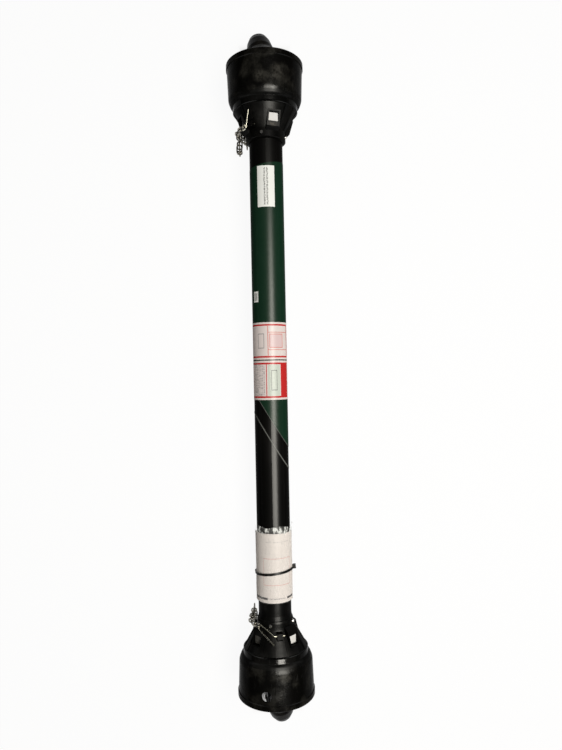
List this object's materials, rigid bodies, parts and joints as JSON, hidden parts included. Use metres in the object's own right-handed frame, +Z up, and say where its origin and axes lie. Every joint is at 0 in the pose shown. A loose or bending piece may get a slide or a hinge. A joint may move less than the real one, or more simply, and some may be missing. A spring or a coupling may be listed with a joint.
{
  "type": "pto drive shaft",
  "caption": "Telescoping power take-off drive shaft with universal joints, quick-release spline yokes, black tube guard with bells, safety chains and a tied-on booklet.",
  "frame": {"origin": "on the ground under the shaft's middle, halfway between the two bells' rims", "axes": "+X along the shaft towards end A, whose guard half carries the outer guard tube; +Z up, with the shaft lying on its bells' rims"},
  "size_m": [1.5138, 0.166, 0.166],
  "materials": {
    "guard_tube": "extruded black guard tube with a soft sheen",
    "bell_plastic": "moulded black bell, satin",
    "cone_plastic": "moulded black cone, half gloss",
    "white_nylon": "white nylon",
    "zinc_steel": "bright zinc plating",
    "dark_steel": "oiled spring steel",
    "ground_steel": "ground bearing steel",
    "black_forging": "black paint on a forging",
    "steel_tube": "drawn steel with a film of grease",
    "seal_rubber": "black seal rubber",
    "chain_steel": "dark plated chain",
    "hook_wire": "zinc plated spring wire",
    "booklet_paper": "white printed paper",
    "clear_film": "clear plastic film",
    "tie_plastic": "black nylon"
  },
  "bodies": {
    "guard_outer": {"guard_tube_outer": "guard_tube", "bell_a": "bell_plastic", "cone_a": "cone_plastic", "bearing_ring_a": "white_nylon", "collar_screws_a": "zinc_steel", "chain_a": "chain_steel", "chain_hook_a": "hook_wire", "manual_booklet": "booklet_paper", "manual_bag": "clear_film", "cable_tie": "tie_plastic"},
    "drive_outer": {"profile_tube_outer": "steel_tube", "tube_yoke_a": "black_forging", "roll_pin_a": "dark_steel", "tube_cups_a": "ground_steel", "tube_snap_rings_a": "dark_steel"},
    "drive_inner": {"profile_tube_inner": "steel_tube", "tube_yoke_b": "black_forging", "roll_pin_b": "dark_steel", "tube_cups_b": "ground_steel", "tube_snap_rings_b": "dark_steel"},
    "guard_inner": {"guard_tube_inner": "guard_tube", "bell_b": "bell_plastic", "cone_b": "cone_plastic", "bearing_ring_b": "white_nylon", "collar_screws_b": "zinc_steel", "chain_b": "chain_steel", "chain_hook_b": "hook_wire"},
    "cross_a": {"cross_a": "ground_steel", "cross_seals_a": "seal_rubber", "grease_nipple_a": "zinc_steel"},
    "end_yoke_a": {"end_yoke_a": "black_forging", "end_cups_a": "ground_steel", "end_snap_rings_a": "dark_steel", "pin_cap_a": "dark_steel", "pin_spring_a": "dark_steel"},
    "push_pin_a": {"push_pin_a": "zinc_steel"},
    "cross_b": {"cross_b": "ground_steel", "cross_seals_b": "seal_rubber", "grease_nipple_b": "zinc_steel"},
    "end_yoke_b": {"end_yoke_b": "black_forging", "end_cups_b": "ground_steel", "end_snap_rings_b": "dark_steel", "pin_cap_b": "dark_steel", "pin_spring_b": "dark_steel"},
    "push_pin_b": {"push_pin_b": "zinc_steel"}
  },
  "joints": [
    {"name": "guard_outer_spin", "type": "hinge", "parent": "guard_outer", "child": "drive_outer", "pos_m": [0.5, 0, 0.083], "axis": [1, 0, 0], "continuous": true},
    {"name": "telescope", "type": "slide", "parent": "drive_outer", "child": "drive_inner", "axis": [-1, 0, 0], "range_m": [0, 0.5]},
    {"name": "guard_inner_spin", "type": "hinge", "parent": "drive_inner", "child": "guard_inner", "pos_m": [-0.5, 0, 0.083], "axis": [1, 0, 0], "continuous": true},
    {"name": "cross_a_hinge", "type": "hinge", "parent": "drive_outer", "child": "cross_a", "pos_m": [0.655, 0, 0.083], "axis": [0, 1, 0], "range_deg": [-46.1, 7.9]},
    {"name": "end_yoke_a_hinge", "type": "hinge", "parent": "cross_a", "child": "end_yoke_a", "pos_m": [0.655, 0, 0.083], "axis": [0.3272, 0, 0.9449], "range_deg": [-34.4, 19.6]},
    {"name": "push_pin_a_travel", "type": "slide", "parent": "end_yoke_a", "child": "push_pin_a", "axis": [0.1217, -0.9917, -0.0421], "range_m": [0, 0.008], "stiffness_N_per_m": 900, "springref_m": -0.004},
    {"name": "cross_b_hinge", "type": "hinge", "parent": "drive_inner", "child": "cross_b", "pos_m": [-0.655, 0, 0.083], "axis": [0, 1, 0], "range_deg": [-2.2, 51.8]},
    {"name": "end_yoke_b_hinge", "type": "hinge", "parent": "cross_b", "child": "end_yoke_b", "pos_m": [-0.655, 0, 0.083], "axis": [-0.4195, 0, 0.9078], "range_deg": [-33.2, 20.8]},
    {"name": "push_pin_b_travel", "type": "slide", "parent": "end_yoke_b", "child": "push_pin_b", "axis": [0.098, -0.9942, 0.0453], "range_m": [0, 0.008], "stiffness_N_per_m": 900, "springref_m": -0.004}
  ]
}
